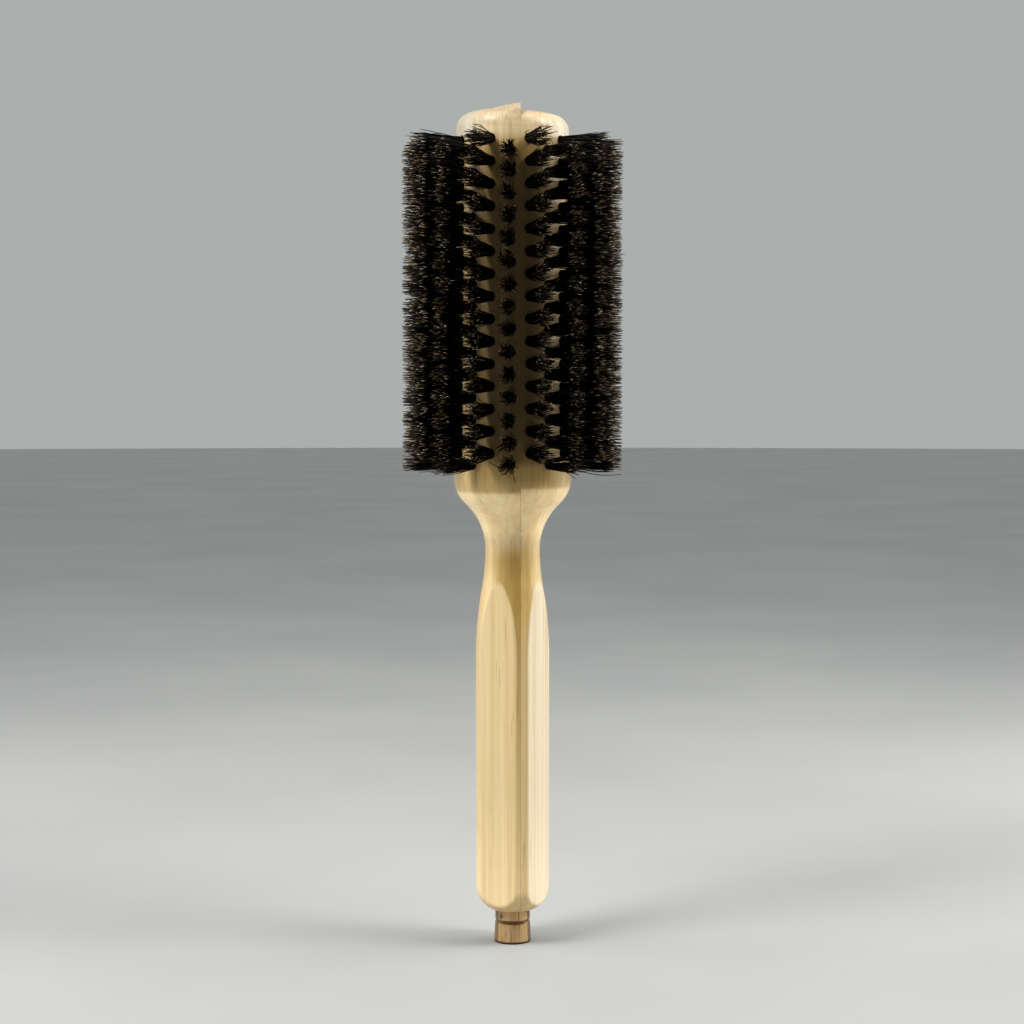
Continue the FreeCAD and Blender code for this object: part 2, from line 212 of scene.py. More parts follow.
def arc_points(centre, radius, first, last, step):
    """Points of an arc, from first to last degrees, about step apart."""
    count = max(2, int(abs(math.radians(last - first)) * radius / step) + 1)
    angles = np.radians(np.linspace(first, last, count))
    return [
        (centre[0] + radius * math.cos(a), centre[1] + radius * math.sin(a)) for a in angles
    ]


def line_points(start, stop, step):
    """Points of a straight line, both ends left out, about step apart."""
    count = max(2, int(math.dist(start, stop) / step) + 1)
    share = np.linspace(0, 1, count)[1:-1]
    return [
        (start[0] + s * (stop[0] - start[0]), start[1] + s * (stop[1] - start[1])) for s in share
    ]


def ease(values, low, high):
    """A smooth step from 0 at low to 1 at high."""
    share = np.clip((values - low) / (high - low), 0, 1)
    return share * share * (3 - 2 * share)


# ---- wood ------------------------------------------------------------------------------------------


def body_outline():
    """The turned body from the top of its bore, out over the end, up the grip to the crown."""
    room, ledge, mouth = BORE["radius"], BORE["ledge"], END_ROUND["mouth_radius"]
    bore = [(0, BORE["top"]), (room, BORE["top"] - room), (room, ledge), (mouth, ledge)]
    bore.append((mouth, GRIP["end"] + END_ROUND["mouth_bevel"]))
    centre = END_ROUND["flat_radius"]
    end_flat = [(centre, GRIP["end"]), (END_ROUND["edge_radius"], GRIP["end"])]
    round_radius = GRIP["low_radius"] - centre
    start = math.degrees(math.asin((GRIP["end"] - GRIP["low"]) / round_radius))
    end_round = arc_points((centre, GRIP["low"]), round_radius, start, 0, step=0.5)
    grip = line_points((GRIP["low_radius"], GRIP["low"]), (GRIP["radius"], GRIP["top"]), step=1.0)

    rise = NECK["waist"] - GRIP["top"]
    offset = NECK["radius"] - GRIP["radius"] + GRIP["bulge"]
    hollow = (offset**2 + rise**2 - GRIP["bulge"] ** 2) / (2 * (GRIP["bulge"] - offset))
    turn = math.degrees(math.atan2(rise, offset + hollow))
    bulge_centre = (GRIP["radius"] - GRIP["bulge"], GRIP["top"])
    bulge_arc = arc_points(bulge_centre, GRIP["bulge"], 0, turn, step=0.9)
    hollow_centre = (NECK["radius"] + hollow, NECK["waist"])
    hollow_arc = arc_points(hollow_centre, hollow, 180 + turn, 180, step=0.9)

    climb = BARREL["low"] - NECK["waist"]
    gap = NECK["radius"] + NECK["flare"] - BARREL["low_radius"]
    shoulder = (climb**2 + gap**2 - NECK["flare"] ** 2) / (2 * (NECK["flare"] - gap))
    turn = math.degrees(math.atan2(climb, gap + shoulder))
    flare_centre = (NECK["radius"] + NECK["flare"], NECK["waist"])
    flare_arc = arc_points(flare_centre, NECK["flare"], 180, 180 - turn, step=0.7)
    shoulder_centre = (BARREL["low_radius"] - shoulder, BARREL["low"])
    shoulder_arc = arc_points(shoulder_centre, shoulder, -turn, 0, step=0.5)

    edge_x = BARREL["high_radius"] - CROWN["edge"]
    lean = math.degrees(math.acos(edge_x / (CROWN["dome"] - CROWN["edge"])))
    dome_z = CROWN["top"] - CROWN["dome"]
    edge_z = dome_z + (CROWN["dome"] - CROWN["edge"]) * math.sin(math.radians(lean))
    low, high = (BARREL["low_radius"], BARREL["low"]), (BARREL["high_radius"], edge_z)
    barrel = line_points(low, high, step=1.2)
    edge = arc_points((edge_x, edge_z), CROWN["edge"], 0, lean, step=0.35)
    dome = arc_points((0, dome_z), CROWN["dome"], lean, CROWN["dome_turn"], step=0.9)
    join = [bore, end_flat, end_round, grip, bulge_arc, hollow_arc[1:], flare_arc[1:]]
    join += [shoulder_arc[1:], barrel, edge, dome[1:], [(0, CROWN["top"])]]
    return [point for stretch in join for point in stretch]


def soft_min(a, b, width):
    """The smaller of two lengths, with the corner where they cross rounded over."""
    share = np.clip(0.5 + 0.5 * (b - a) / width, 0, 1)
    return b + (a - b) * share - width * share * (1 - share)


def cut_flats(points, first_outside):
    """Planes the grip's flats into the turned points, with edges as sanded."""
    x, y, z = points.T
    radius, angle = np.hypot(x, y), np.degrees(np.arctan2(y, x))
    step = 360 / GRIP_FLATS["count"]
    off = (angle - GRIP_FLATS["turn"] + step / 2) % step - step / 2
    flat = GRIP_FLATS["apothem"] / np.cos(np.radians(off))
    wanted = soft_min(radius, flat, GRIP_FLATS["edge"])
    outside = (np.arange(len(points)) >= first_outside) & (z < GRIP_FLATS["top"])
    scale = np.where(outside, wanted / np.maximum(radius, 1e-9), 1.0)
    return np.stack([x * scale, y * scale, z], 1)


def raise_lip(points):
    """The left lamination's crown is fuller at its edge and slants up towards the glue line."""
    x, y, z = points.T
    slant = np.maximum(x - LIP["start"], 0) * math.tan(math.radians(LIP["tilt"]))
    rise = (slant + LIP["lift"]) * ease(z, LIP["low"], LIP["high"])
    edge = ease(-x, CROWN_EDGE["inner"], CROWN_EDGE["outer"])
    edge = edge * ease(z, CROWN_EDGE["low"], CROWN_EDGE["high"]) * CROWN_EDGE["proud"]
    return np.stack([x, y, z + np.maximum(rise, edge)], 1)


def drills(rows):
    """One mesh with all the blind holes' drills."""
    sides = HOLES["drill_sides"]
    angles = np.linspace(0, 2 * math.pi, sides, endpoint=False)
    ring = np.stack([np.cos(angles), np.sin(angles)], 1) * HOLES["radius"]
    points, faces = [], []
    for row in rows:
        for height in row["heights"]:
            base = len(points)
            for radius in (HOLES["floor"], HOLES["drill_end"]):
                for across, up in ring:
                    place = radius * row["out"] + across * row["side"]
                    points.append((place[0], place[1], height + up))
            faces.append(tuple(base + i for i in reversed(range(sides))))
            faces.append(tuple(base + sides + i for i in range(sides)))
            for i in range(sides):
                j = (i + 1) % sides
                faces.append((base + i, base + j, base + sides + j, base + sides + i))
    return new_mesh("drills", np.array(points) * MM, faces)


def split_at_glue_line(mesh, left):
    """Keeps what lies on one side of the glue line, and closes the cut."""
    bm = bmesh.new()
    bm.from_mesh(mesh)
    cut = bmesh.ops.bisect_plane(
        bm,
        geom=bm.verts[:] + bm.edges[:] + bm.faces[:],
        plane_co=(GLUE_PLANE * MM, 0, 0),
        plane_no=(1, 0, 0) if left else (-1, 0, 0),
        clear_outer=True,
    )
    edges = [e for e in cut["geom_cut"] if isinstance(e, bmesh.types.BMEdge)]
    bmesh.ops.holes_fill(bm, edges=edges)
    bmesh.ops.recalc_face_normals(bm, faces=bm.faces[:])
    bm.to_mesh(mesh)
    bm.free()


def drill_holes(piece, tool):
    """Cuts the drills out of the piece, and gives it the mesh that is left."""
    drill = piece.modifiers.new("drilled", "BOOLEAN")
    drill.operation = "DIFFERENCE"
    drill.solver = "EXACT"
    drill.object = tool
    bpy.context.view_layer.update()
    drilled = piece.evaluated_get(bpy.context.evaluated_depsgraph_get())
    shaped = bpy.data.meshes.new_from_object(drilled)
    piece.modifiers.clear()
    piece.data = shaped


def lamination(name, node, left, tool):
    """One of the two boards: the turned body, flats planed, cut at the glue line and drilled."""
    points, faces = spin(body_outline(), BODY_COLUMNS)
    if left:
        points = raise_lip(points)
    points = cut_flats(points, RINGS_IN_MOUTH * BODY_COLUMNS)
    piece = new_mesh(name, points * MM, faces)
    split_at_glue_line(piece.data, left)
    drill_holes(piece, tool)
    smooth(piece)
    piece.data.materials.clear()
    piece.data.materials.append(wood_material(name, left))
    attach(piece, "brush")
    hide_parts(node)


# ---- tufts -----------------------------------------------------------------------------------------


def tuft_rows():
    """Each row's direction and heights, read from its CAD node."""
    rows = []
    for node in sorted(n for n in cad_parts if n.endswith("_tufts")):
        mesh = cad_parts[node].data
        places = np.empty(len(mesh.vertices) * 3)
        mesh.vertices.foreach_get("co", places)
        middle = places.reshape(-1, 3)[:, :2].mean(0)
        out = middle / np.linalg.norm(middle)
        low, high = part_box(node)
        first, last = low.z / MM + TUFT_HALF_WIDTH, high.z / MM - TUFT_HALF_WIDTH
        row = dict(node=node, heights=np.linspace(first, last, TUFTS_PER_ROW))
        row["out"] = np.array([out[0], out[1], 0.0])
        row["side"] = np.array([-out[1], out[0], 0.0])
        rows.append(row)
    return rows


# Bristles, in millimetres. Pairs are a mean and a deviation.
HAIRS = 110
HAIR_RINGS = 6
HAIR_SIDES = 3
HAIR_RADIUS = 0.118
TIP_THINNING = 0.036
ROOT_DEPTH = 14.6
ROOT_SPREAD = 1.36
TIP_SPREAD = (2.05, 0.16)
TIP_SCATTER = 0.30
TUFT_LEAN = 0.22
FIRST_TUFT_LEAN, LAST_TUFT_LEAN = 0.3, -1.0
STRAY_SHARE, END_STRAY_SHARE = 0.025, 0.07
STRAY_SCATTER = 1.5
SHORT_REACH = (29.75, 0.45)
LONG_SHARE = 0.30
LONG_REACH = dict(most=32.05, fall=1.1, power=1.6)
LONG_TIP_TONE = 0.75
CURL, STRAY_CURL = 0.14, 5
SPREAD_START, SPREAD_POWER = 0.1, 1.1
TONE_POWERS = (1.0, 0.84)
UP = np.array([0.0, 0.0, 1.0])


def hair_paths(row, random):
    """The centre lines of a row's bristles, as hairs x rings x 3, with their two tone values."""
    paths, tones = [], []
    last = len(row["heights"]) - 1
    for index, height in enumerate(row["heights"]):
        share = np.sqrt(random.random(HAIRS))
        turn = random.random(HAIRS) * 2 * math.pi
        root = np.stack([np.cos(turn), np.sin(turn)], 1) * share[:, None] * ROOT_SPREAD
        lean = random.normal(0, TUFT_LEAN, 2)
        lean[1] += {0: FIRST_TUFT_LEAN, last: LAST_TUFT_LEAN}.get(index, 0.0)
        tip = root * random.normal(*TIP_SPREAD, (HAIRS, 1)) + lean
        tip += random.normal(0, TIP_SCATTER, (HAIRS, 2))
        stray = random.random(HAIRS) < (END_STRAY_SHARE if index in (0, last) else STRAY_SHARE)
        tip[stray] += random.normal(0, STRAY_SCATTER, (stray.sum(), 2))
        reach = random.normal(*SHORT_REACH, HAIRS)
        long = random.random(HAIRS) < LONG_SHARE
        fall = LONG_REACH["fall"] * random.random(long.sum()) ** LONG_REACH["power"]
        reach[long] = LONG_REACH["most"] - fall
        curl = random.normal(0, CURL, (HAIRS, 2))
        curl[stray] *= STRAY_CURL
        t = np.linspace(0, 1, HAIR_RINGS + 1)[None, :, None]
        spread = np.clip((t - SPREAD_START) / (1 - SPREAD_START), 0, 1) ** SPREAD_POWER
        flat = root[:, None] + (tip - root)[:, None] * spread
        flat = flat + curl[:, None] * np.sin(math.pi * spread)
        radial = ROOT_DEPTH + (reach - ROOT_DEPTH)[:, None] * t[:, :, 0]
        place = radial[..., None] * row["out"] + flat[..., :1] * row["side"] + flat[..., 1:] * UP
        place[..., 2] += height
        paths.append(place)
        tone = random.random((HAIRS, 2)) ** TONE_POWERS
        tone[long, 1] *= LONG_TIP_TONE
        tones.append(tone)
    return np.concatenate(paths), np.concatenate(tones)


def hair_faces(hairs, rings):
    """The end faces and the side faces of all the hairs, as arrays of point numbers."""
    count = rings * HAIR_SIDES
    caps = [tuple(reversed(range(HAIR_SIDES))), tuple(range(count - HAIR_SIDES, count))]
    sides = []
    for ring in range(rings - 1):
        for side in range(HAIR_SIDES):
            a, b = ring * HAIR_SIDES + side, ring * HAIR_SIDES + (side + 1) % HAIR_SIDES
            sides.append((a, b, b + HAIR_SIDES, a + HAIR_SIDES))
    shift = (np.arange(hairs) * count)[:, None, None]
    caps = (np.array(caps)[None] + shift).reshape(-1, HAIR_SIDES)
    return caps, (np.array(sides)[None] + shift).reshape(-1, 4)


def mesh_from_arrays(name, points, caps, sides):
    mesh = bpy.data.meshes.new(name)
    mesh.vertices.add(len(points))
    mesh.vertices.foreach_set("co", points.ravel())
    loops = np.concatenate([caps.ravel(), sides.ravel()])
    mesh.loops.add(len(loops))
    mesh.loops.foreach_set("vertex_index", loops)
    sizes = np.concatenate([np.full(len(caps), HAIR_SIDES), np.full(len(sides), 4)])
    mesh.polygons.add(len(sizes))
    mesh.polygons.foreach_set("loop_start", np.concatenate([[0], np.cumsum(sizes)[:-1]]))
    mesh.update(calc_edges=True)
    mesh.validate()
    return mesh


def hair_mesh(name, paths, tones, out):
    """Tapering three-sided bristles, closed at the root and cut off at the tip."""
    hairs, rings = paths.shape[0], paths.shape[1]
    along = np.gradient(paths, axis=1)
    along /= np.linalg.norm(along, axis=2, keepdims=True)
    one = np.cross(along, UP + 0.1 * out)
    one /= np.linalg.norm(one, axis=2, keepdims=True)
    two = np.cross(along, one)
    t = np.linspace(0, 1, rings)
    thick = HAIR_RADIUS - TIP_THINNING * t**3
    start = tones[:, :1] * 2 * math.pi
    body = []
    for side in range(HAIR_SIDES):
        angle = start + side * 2 * math.pi / HAIR_SIDES
        swing = np.cos(angle)[:, :, None] * one + np.sin(angle)[:, :, None] * two
        body.append(paths + swing * thick[None, :, None])
    points = np.stack(body, 2).reshape(-1, 3)
    count = rings * HAIR_SIDES
    caps, sides = hair_faces(hairs, rings)
    mesh = mesh_from_arrays(name, points * MM, caps, sides)
    tone = mesh.color_attributes.new("bristle", "FLOAT_COLOR", "POINT")
    values = np.ones((hairs, count, 4))
    values[..., 0] = tones[:, :1]
    values[..., 1] = np.repeat(t, HAIR_SIDES)[None]
    values[..., 2] = tones[:, 1:]
    tone.data.foreach_set("color", values.reshape(-1))
    flags = np.concatenate([np.zeros(len(caps), bool), np.ones(len(sides), bool)])
    mesh.polygons.foreach_set("use_smooth", flags)
    thing = bpy.data.objects.new(name, mesh)
    bpy.context.scene.collection.objects.link(thing)
    return thing


def add_tufts(rows):
    random = np.random.default_rng(SEED)
    material = bristle_material()
    for row in rows:
        paths, tones = hair_paths(row, random)
        name = row["node"].replace("_tufts", "_bristles")
        piece = hair_mesh(name, paths, tones, row["out"])
        piece.data.materials.append(material)
        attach(piece, "brush")
        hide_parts(row["node"])


# ---- pick ------------------------------------------------------------------------------------------


def add_knob():
    """The turned knob: an edged foot, a shallow groove, an eased top and the hole for the pin."""
    edge, top_edge, height = KNOB["foot_edge"], KNOB["top_edge"], KNOB["height"]
    foot, waist, neck, top = KNOB["foot"], KNOB["waist"], KNOB["neck"], KNOB["top"]
    low, high = GROOVE["low"], GROOVE["high"]
    hole, floor = PIN_HOLE["radius"], PIN_HOLE["floor"]
    outline = [(0, 0.0), (KNOB["base"], 0.0)]
    outline += arc_points((foot - edge, edge), edge, -90, 0, step=0.08)
    outline += line_points((foot, edge), (waist, low), step=0.5)
    outline += [(waist, low), *GROOVE_LOWER_SIDE, *GROOVE_UPPER_SIDE, (neck, high)]
    outline += line_points((neck, high), (top, KNOB["wall_top"]), step=0.4)
    outline += arc_points((top - top_edge, height - top_edge), top_edge, 0, 90, step=0.1)
    outline += [(PIN_HOLE["rim"], height), (hole, height - PIN_HOLE["rim_depth"])]
    outline += [(hole, floor), (0, floor)]
    points, faces = spin(outline, KNOB_COLUMNS)
    piece = new_mesh("turned_knob", points * MM, faces)
    smooth(piece, sharp_angle=40)
    piece.data.materials.append(knob_material())
    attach(piece, "pick")
    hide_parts("pick_knob")


def finish_cad_nodes():
    """The pieces that keep their CAD meshes take their finishes."""
    staples = steel_material("staple_steel", (0.50, 0.49, 0.47), 0.38)
    finishes = dict(
        pick_pin=steel_material("pin_steel", (0.60, 0.60, 0.61), 0.22),
        pick_socket=plastic_material(),
    )
    for name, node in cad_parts.items():
        finish = staples if name.endswith("_staples") else finishes.get(name)
        if finish:
            for slot in node.material_slots:
                slot.material = finish


# ---- materials -------------------------------------------------------------------------------------


class Nodes:
    """A small helper that adds shader nodes to a tree and links them."""

    def __init__(self, tree, coordinate):
        self.tree = tree
        self.place = self.add("ShaderNodeTexCoord").outputs[coordinate]

    def add(self, kind, **settings):
        node = self.tree.nodes.new(kind)
        for key, value in settings.items():
            setattr(node, key, value)
        return node

    def link(self, source, target):
        self.tree.links.new(source, target)

    def feed(self, value, socket):
        """Links a socket to another one, or sets it to a number or colour."""
        if isinstance(value, bpy.types.NodeSocket):
            self.link(value, socket)
        else:
            socket.default_value = value

    def axes(self):
        node = self.add("ShaderNodeSeparateXYZ")
        self.link(self.place, node.inputs[0])
        return node.outputs["X"], node.outputs["Y"], node.outputs["Z"]

    def stretched(self, scale, offset=(0, 0, 0)):
        node = self.add("ShaderNodeMapping")
        node.inputs["Scale"].default_value = scale
        node.inputs["Location"].default_value = offset
        self.link(self.place, node.inputs["Vector"])
        return node.outputs["Vector"]

    def noise(self, stretch, detail, roughness=0.5, distortion=0.0, offset=(0, 0, 0)):
        node = self.add("ShaderNodeTexNoise")
        node.inputs["Scale"].default_value = 1.0
        node.inputs["Detail"].default_value = detail
        node.inputs["Roughness"].default_value = roughness
        node.inputs["Distortion"].default_value = distortion
        self.link(self.stretched(stretch, offset), node.inputs["Vector"])
        return node.outputs["Fac"]

    def ramp(self, factor, stops):
        node = self.add("ShaderNodeValToRGB")
        elements = node.color_ramp.elements
        while len(elements) < len(stops):
            elements.new(0.5)
        for element, (position, colour) in zip(elements, stops):
            element.position = position
            element.color = (*colour, 1)
        self.link(factor, node.inputs["Fac"])
        return node.outputs["Color"]

    def mix(self, factor, one, two, blend="MIX"):
        node = self.add("ShaderNodeMix", data_type="RGBA", blend_type=blend)
        for socket, value in ((0, factor), (6, one), (7, two)):
            self.feed(value, node.inputs[socket])
        return node.outputs[2]

    def math(self, operation, one, two=0.0):
        node = self.add("ShaderNodeMath", operation=operation)
        self.feed(one, node.inputs[0])
        self.feed(two, node.inputs[1])
        return node.outputs[0]

    def span(self, value, low, high, to_low=0.0, to_high=1.0):
        node = self.add("ShaderNodeMapRange", interpolation_type="SMOOTHSTEP")
        for socket, number in ((1, low), (2, high), (3, to_low), (4, to_high)):
            node.inputs[socket].default_value = number
        self.link(value, node.inputs[0])
        return node.outputs[0]

    def band(self, value, rise, fall):
        """1 between the two (start, stop) steps and 0 outside them."""
        return self.math("MULTIPLY", self.span(value, *rise), self.span(value, *fall, 1.0, 0.0))

    def without(self, mask, share=1.0):
        """1 where the mask is 0, less by share where it is 1."""
        return self.math("SUBTRACT", 1.0, self.math("MULTIPLY", mask, share))


class Surface(Nodes):
    """A material's nodes, with its shader."""

    def __init__(self, name):
        self.material = bpy.data.materials.new(name)
        self.material.use_nodes = True
        super().__init__(self.material.node_tree, "Object")
        self.shader = self.tree.nodes["Principled BSDF"]

    def bump(self, height, strength, distance):
        node = self.add("ShaderNodeBump")
        node.inputs["Strength"].default_value = strength
        node.inputs["Distance"].default_value = distance
        self.link(height, node.inputs["Height"])
        self.link(node.outputs["Normal"], self.shader.inputs["Normal"])

    def set(self, **values):
        for key, value in values.items():
            self.feed(value, self.shader.inputs[key.replace("_", " ")])


# Where the wood's tones change with height, in metres: each step is a (start, stop).
GRIP_END_LIGHT = (0.010, 0.050)
HEART_LOW, HEART_TOP = (0.040, 0.098), (0.113, 0.118)
FLATS_TOP = (0.107, 0.111)
SHOULDER_LIGHT_LOW = (0.1165, 0.1225)
NECK_TOP = (0.118, 0.130)
BARREL_FOOT = (0.1325, 0.1340)
TONES_SHIFT = 0.0013
TUFTS_LOW, TUFTS_TOP = (0.1385, 0.1415), (0.2275, 0.2315)
CROWN_LINES, CROWN_LACQUER = (0.225, 0.236), (0.228, 0.236)
CROWN_FOOT, CROWN_ROUND, CROWN_DOME = (0.2295, 0.2345), (0.2348, 0.2374), (0.2385, 0.2402)

# The same for the distance from the middle to either side, and for the heart's X.
NECK_SIDE, BARREL_SIDE, FIELD_LIT_SIDE = (0.004, 0.0065), (0.010, 0.0145), (0.0060, 0.0115)
CROWN_SIDE = (0.006, 0.0135)
FLATS_REACH = (0.00845, 0.0088)
HEART_SIDE = (-0.0045, -0.0005)
GLUE_WIDTH = (0.0, 0.00015)

# How far the turned wood is from its paler tone to its deeper one, by height in metres. Besides the
# wood's own tone this is painted light and shade: paler low down and on the shoulder, as if lit from
# the floor, and deeper up the neck and barrel, as painted shade under the tufts.
TONE_BY_HEIGHT = (
    (0.0, 0.1),
    (0.050, 0.3),
    (0.082, 0.5),
    (0.100, 1.0),
    (0.1135, 1.0),
    (0.1180, 0.15),
    (BARREL_FOOT[0], 0.0),
    (BARREL_FOOT[1], 1.0),
)
RAMP_SCALE = 4.0

WHITE = (1, 1, 1, 1)
WOOD_TONES = dict(
    grip=((0.870, 0.720, 0.455, 1), (0.775, 0.610, 0.345, 1)),
    # The barrel's deeper tone is partly painted shade under the tufts.
    barrel=((0.720, 0.530, 0.245, 1), (0.600, 0.420, 0.165, 1)),
    # Painted light on the sides of the tuft field.
    field_sides_light=(0.95, 0.77, 0.50, 1),
    crown=(0.93, 0.78, 0.53, 1),
    # The crown's side tones are partly painted light.
    left_crown_side=(0.58, 0.54, 0.46, 1),
    right_crown_side=(0.70, 0.64, 0.52, 1),
    crown_round=(0.40, 0.33, 0.23, 1),
    pore=(0.30, 0.185, 0.075, 1),
    glue=(0.22, 0.14, 0.06, 1),
)

# These multiply the wood's own tone.
WOOD_TINTS = dict(
    # Painted light on the grip's end, as if lit from the floor.
    grip_end_light=(1.22, 1.22, 1.25, 1),
    heart=(0.82, 0.80, 0.68, 1),
    # Painted highlight on the right board's flats.
    right_flats_highlight=(1.01, 1.09, 1.38, 1),
    # Painted light on the shoulder, as if lit from the floor.
    shoulder=(1.42, 1.42, 1.46, 1),
    # Painted shade between the tufts.
    field=(0.62, 0.61, 0.60, 1),
    crown_dome=(0.82, 0.80, 0.78, 1),
    streak=(0.84, 0.78, 0.66, 1),
    line=(0.88, 0.83, 0.74, 1),
)

# Each noise's stretch, detail, roughness and distortion.
WOOD_NOISES = dict(
    broad=((90, 90, 2.2), 3.0, 0.55, 0.25),
    fine=((620, 620, 6.0), 4.0, 0.6, 0.1),
    lines=((2300, 2300, 14.0), 2.0, 0.5, 0.0),
    pores=((1900, 1900, 70.0), 2.0, 0.5, 0.0),
    patches=((160, 160, 22.0), 2.0, 0.5, 0.0),
)


def flats_mask(n, z):
    """1 on the grip's planed flats and 0 on the turned wood between and above them."""
    turn = math.radians(GRIP_FLATS["turn"])
    reach = []
    for angle in (turn, turn + math.pi / 2):
        node = n.add("ShaderNodeVectorMath", operation="DOT_PRODUCT")
        n.link(n.place, node.inputs[0])
        node.inputs[1].default_value = (math.cos(angle), math.sin(angle), 0.0)
        reach.append(n.math("ABSOLUTE", node.outputs["Value"]))
    near = n.span(n.math("MAXIMUM", *reach), *FLATS_REACH)
    return n.math("MULTIPLY", near, n.span(z, *FLATS_TOP, 1.0, 0.0))


def body_tones(n, x, across, z, tinted, broad, left):
    """Deeper yellow in the barrel and neck, paler in the grip, and palest on its flats: partly the
    wood's own tone, partly painted shade under the tufts and painted light from the floor, on the
    sides and on the flats.
    """
    grip = n.mix(n.span(broad, 0.30, 0.72), *WOOD_TONES["grip"])
    barrel = n.mix(n.span(broad, 0.30, 0.72), *WOOD_TONES["barrel"])
    stops = [(at * RAMP_SCALE, (tone, tone, tone)) for at, tone in TONE_BY_HEIGHT]
    depth = n.ramp(n.math("MULTIPLY", tinted, RAMP_SCALE), stops)
    # Painted light: the neck's and the barrel's sides are paler, where the side light falls.
    neck_side = n.math("MULTIPLY", n.span(across, *NECK_SIDE), n.span(z, *NECK_TOP, 1.0, 0.0))
    beside = n.math("MAXIMUM", neck_side, n.span(across, *BARREL_SIDE))
    depth = n.math("MULTIPLY", depth, n.without(beside, 0.45))
    flat = flats_mask(n, z)
    turned = n.without(flat)
    colour = n.mix(n.math("MULTIPLY", depth, turned), grip, barrel)
    if not left:
        # Painted highlight: the right board's flats are tinted paler and whiter.
        return n.mix(flat, colour, WOOD_TINTS["right_flats_highlight"], "MULTIPLY")
    # A darker stripe runs up the left board's grip, beside the glue line.
    heart = n.math("MULTIPLY", n.band(z, HEART_LOW, HEART_TOP), turned)
    heart = n.math("MULTIPLY", heart, n.span(x, *HEART_SIDE))
    return n.mix(heart, colour, WOOD_TINTS["heart"], "MULTIPLY")


def field_tones(n, colour, across, z, left):
    """Between the tufts the wood is deeper in front and paler round the sides: painted shade where
    the tufts shade the wood, and painted light on the sides, more on the right board.
    """
    field = n.band(z, TUFTS_LOW, TUFTS_TOP)
    # Painted shade between the tufts.
    colour = n.mix(field, colour, WOOD_TINTS["field"], "MULTIPLY")
    # Painted light on the sides of the tuft field.
    sides = n.span(across, *FIELD_LIT_SIDE, 0.0, 0.45 if left else 1.0)
    return n.mix(n.math("MULTIPLY", field, sides), colour, WOOD_TONES["field_sides_light"])


def crown_tones(n, colour, across, z, left):
    """Pale end grain, with a deeper band where the crown starts to round over: partly the end grain's
    own tone, partly painted light and shade, greyer at the outer ends, paler on the right board and
    darker on the dome's top.
    """
    outer = n.span(across, *CROWN_SIDE)
    side = WOOD_TONES["left_crown_side" if left else "right_crown_side"]
    colour = n.mix(n.span(z, *CROWN_FOOT), colour, n.mix(outer, WOOD_TONES["crown"], side))
    rounded = n.math("MULTIPLY", n.span(z, *CROWN_ROUND, 0.0, 0.62), n.without(outer, 0.7))
    colour = n.mix(rounded, colour, WOOD_TONES["crown_round"])
    return n.mix(n.span(z, *CROWN_DOME), colour, WOOD_TINTS["crown_dome"], "MULTIPLY")


def wood_material(name, left):
    """Pale close-grained wood: straight streaks along the grain, short dark pores, clear lacquer."""
    n = Surface(name)
    shift = (0.0, 0.0, 0.0) if left else (0.37, 0.21, 0.5)
    grain = {key: n.noise(*settings, offset=shift) for key, settings in WOOD_NOISES.items()}
    x, _, z = n.axes()
    across = n.math("ABSOLUTE", x)
    # The left board's tones change a little lower than the right one's.
    tinted = n.math("ADD", z, TONES_SHIFT if left else 0.0)
    colour = body_tones(n, x, across, z, tinted, grain["broad"], left)
    colour = field_tones(n, colour, across, z, left)
    # Painted light: the shoulder under the barrel is made paler, as if lit from the floor below.
    shoulder = n.math("MULTIPLY", n.span(z, *SHOULDER_LIGHT_LOW), n.span(tinted, *BARREL_FOOT, 1.0, 0.0))
    colour = n.mix(shoulder, colour, WOOD_TINTS["shoulder"], "MULTIPLY")
    # Painted light: the grip's end is paler towards the bottom, as if lit from the floor.
    colour = n.mix(n.span(z, *GRIP_END_LIGHT, 0.9, 0.0), colour, WOOD_TINTS["grip_end_light"], "MULTIPLY")
    colour = crown_tones(n, colour, across, z, left)
    streak = n.mix(n.span(grain["fine"], 0.35, 0.75), WHITE, WOOD_TINTS["streak"])
    colour = n.mix(0.7, colour, streak, "MULTIPLY")
    line = n.mix(n.span(grain["lines"], 0.45, 0.62), WHITE, WOOD_TINTS["line"])
    colour = n.mix(n.span(z, *CROWN_LINES, 0.35, 0.9), colour, line, "MULTIPLY")
    patches = n.span(grain["patches"], 0.45, 0.65)
    pore = n.math("MULTIPLY", n.span(grain["pores"], 0.60, 0.72), patches)
    colour = n.mix(n.math("MULTIPLY", pore, 0.5), colour, WOOD_TONES["pore"])
    glue = n.math("ABSOLUTE", n.math("SUBTRACT", x, GLUE_PLANE * MM))
    colour = n.mix(n.span(glue, *GLUE_WIDTH, 0.35, 0.0), colour, WOOD_TONES["glue"])
    n.set(Base_Color=colour, Roughness=n.span(grain["fine"], 0.2, 0.8, 0.40, 0.55))
    n.set(Coat_Weight=n.span(z, *CROWN_LACQUER, 0.7, 0.25), Coat_Roughness=0.27)
    n.bump(n.math("SUBTRACT", n.math("MULTIPLY", grain["fine"], 0.35), pore), 0.35, 0.00006)
    return n.material


KNOB_TONES = dict(
    pale=(0.62, 0.44, 0.235, 1),
    deep=(0.49, 0.325, 0.16, 1),
    line=(0.22, 0.13, 0.055, 1),
    pore=(0.10, 0.055, 0.02, 1),
    # Painted dark reflection where the knob turns away from the camera.
    edge=(0.13, 0.075, 0.03, 1),
    # Painted shade on the knob's left side.
    left_side=(0.25, 0.165, 0.08, 1),
    groove=(0.20, 0.095, 0.025, 1),
    mark=(0.11, 0.10, 0.11, 1),
    # Painted shade at the bottom, where the knob meets the floor.
    foot=(0.06, 0.028, 0.01, 1),
)
KNOB_TOP_TINT = (1.35, 1.35, 1.35, 1)

